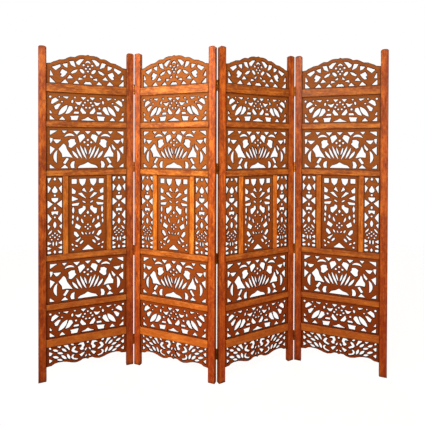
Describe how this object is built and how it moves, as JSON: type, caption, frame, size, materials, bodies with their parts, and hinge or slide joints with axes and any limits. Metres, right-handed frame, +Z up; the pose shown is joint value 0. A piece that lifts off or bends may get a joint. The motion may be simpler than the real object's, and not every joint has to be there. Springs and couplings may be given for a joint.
{
  "type": "carved folding screen",
  "caption": "Folding room screen of pierced carved wood boards held in tall framed panels that fold on brass butt hinges.",
  "frame": {"origin": "on the floor under the middle of the screen as it stands in its zigzag", "axes": "+X along the screen to the viewer's right, +Y away from the viewer, +Z up; the carved front faces -Y"},
  "size_m": [1.9266, 0.2538, 1.829],
  "materials": {
    "frame_wood": "honey-red stain, satin wax",
    "fretwork_wood": "brown-red stain, dull wax",
    "hinge_brass": "aged brass"
  },
  "bodies": {
    "panel_1": {"panel_1_left_stile": "frame_wood", "panel_1_right_stile": "frame_wood", "panel_1_rails": "frame_wood", "panel_1_mullions": "frame_wood", "panel_1_crest": "fretwork_wood", "panel_1_upper_fan_band": "fretwork_wood", "panel_1_lower_fan_band": "fretwork_wood", "panel_1_garden_rows": "fretwork_wood", "panel_1_side_columns": "fretwork_wood", "panel_1_centre_lattice": "fretwork_wood", "panel_1_apron": "fretwork_wood", "hinge_1_left_leaves": "hinge_brass", "hinge_1_pins": "hinge_brass", "hinge_1_left_screws": "hinge_brass"},
    "panel_2": {"panel_2_left_stile": "frame_wood", "panel_2_right_stile": "frame_wood", "panel_2_rails": "frame_wood", "panel_2_mullions": "frame_wood", "panel_2_crest": "fretwork_wood", "panel_2_upper_fan_band": "fretwork_wood", "panel_2_lower_fan_band": "fretwork_wood", "panel_2_garden_rows": "fretwork_wood", "panel_2_side_columns": "fretwork_wood", "panel_2_centre_lattice": "fretwork_wood", "panel_2_apron": "fretwork_wood", "hinge_1_right_leaves": "hinge_brass", "hinge_1_right_screws": "hinge_brass", "hinge_2_left_leaves": "hinge_brass", "hinge_2_pins": "hinge_brass", "hinge_2_left_screws": "hinge_brass"},
    "panel_3": {"panel_3_left_stile": "frame_wood", "panel_3_right_stile": "frame_wood", "panel_3_rails": "frame_wood", "panel_3_mullions": "frame_wood", "panel_3_crest": "fretwork_wood", "panel_3_upper_fan_band": "fretwork_wood", "panel_3_lower_fan_band": "fretwork_wood", "panel_3_garden_rows": "fretwork_wood", "panel_3_side_columns": "fretwork_wood", "panel_3_centre_lattice": "fretwork_wood", "panel_3_apron": "fretwork_wood", "hinge_2_right_leaves": "hinge_brass", "hinge_2_right_screws": "hinge_brass", "hinge_3_left_leaves": "hinge_brass", "hinge_3_pins": "hinge_brass", "hinge_3_left_screws": "hinge_brass"},
    "panel_4": {"panel_4_left_stile": "frame_wood", "panel_4_right_stile": "frame_wood", "panel_4_rails": "frame_wood", "panel_4_mullions": "frame_wood", "panel_4_crest": "fretwork_wood", "panel_4_upper_fan_band": "fretwork_wood", "panel_4_lower_fan_band": "fretwork_wood", "panel_4_garden_rows": "fretwork_wood", "panel_4_side_columns": "fretwork_wood", "panel_4_centre_lattice": "fretwork_wood", "panel_4_apron": "fretwork_wood", "hinge_3_right_leaves": "hinge_brass", "hinge_3_right_screws": "hinge_brass"}
  },
  "joints": [
    {"name": "hinge_1", "type": "hinge", "parent": "panel_2", "child": "panel_1", "pos_m": [-0.47794, 0.05603, 0], "axis": [0, 0, 1], "range_deg": [-42.2, 137.8]},
    {"name": "hinge_2", "type": "hinge", "parent": "panel_2", "child": "panel_3", "pos_m": [0.00829, -0.10209, 0], "axis": [0, 0, 1], "range_deg": [-48.3, 131.7]},
    {"name": "hinge_3", "type": "hinge", "parent": "panel_3", "child": "panel_4", "pos_m": [0.47713, 0.1019, 0], "axis": [0, 0, -1], "range_deg": [-47.4, 132.6]}
  ]
}
